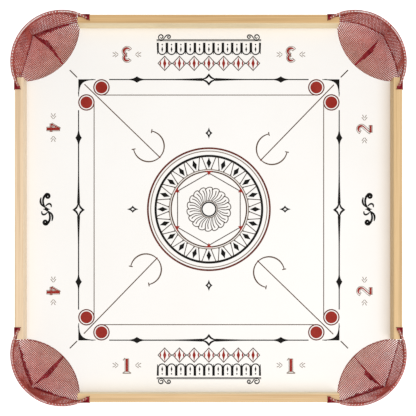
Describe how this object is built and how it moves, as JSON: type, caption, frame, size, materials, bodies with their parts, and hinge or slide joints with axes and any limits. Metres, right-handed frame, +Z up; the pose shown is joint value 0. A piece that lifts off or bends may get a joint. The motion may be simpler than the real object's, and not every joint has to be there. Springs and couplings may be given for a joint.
{
  "type": "carrom board",
  "caption": "Square carrom board with a printed playing face, grooved wooden rails and a net pocket hung from a wire hoop at each open corner.",
  "frame": {"origin": "centre of the board in plan, on the table plane under the rails", "axes": "+Z up out of the playing face; +Y towards the back rail, the upper edge of the picture; +X towards the right rail"},
  "size_m": [0.79, 0.79, 0.07],
  "materials": {
    "plywood": "matt unvarnished ply underside",
    "printed_face": "smooth satin white sheet with screen-printed lines",
    "rail_wood": "clear satin varnish on pale wood",
    "steel": "bright wire",
    "white_wire": "white coated wire",
    "netting": "burgundy knotless mesh",
    "tab_cloth": "dark red woven tape"
  },
  "bodies": {
    "root": {"play_panel": "plywood", "play_face": "printed_face", "rail_front": "rail_wood", "rail_back": "rail_wood", "rail_left": "rail_wood", "rail_right": "rail_wood", "brads_front": "steel", "brads_back": "steel", "brads_left": "steel", "brads_right": "steel", "hoop_front_left": "white_wire", "hoop_front_right": "white_wire", "hoop_back_left": "white_wire", "hoop_back_right": "white_wire", "sleeve_front_left": "netting", "sleeve_front_right": "netting", "sleeve_back_left": "netting", "sleeve_back_right": "netting", "net_front_left": "netting", "net_front_right": "netting", "net_back_left": "netting", "net_back_right": "netting", "tab_front_left_end": "tab_cloth", "tab_front_right_end": "tab_cloth", "tab_back_left_end": "tab_cloth", "tab_back_right_end": "tab_cloth", "tab_left_front_end": "tab_cloth", "tab_left_back_end": "tab_cloth", "tab_right_front_end": "tab_cloth", "tab_right_back_end": "tab_cloth", "net_staples_front_left": "steel", "net_staples_front_right": "steel", "net_staples_back_left": "steel", "net_staples_back_right": "steel", "tab_staples_front": "steel", "tab_staples_back": "steel", "tab_staples_left": "steel", "tab_staples_right": "steel"}
  },
  "joints": []
}
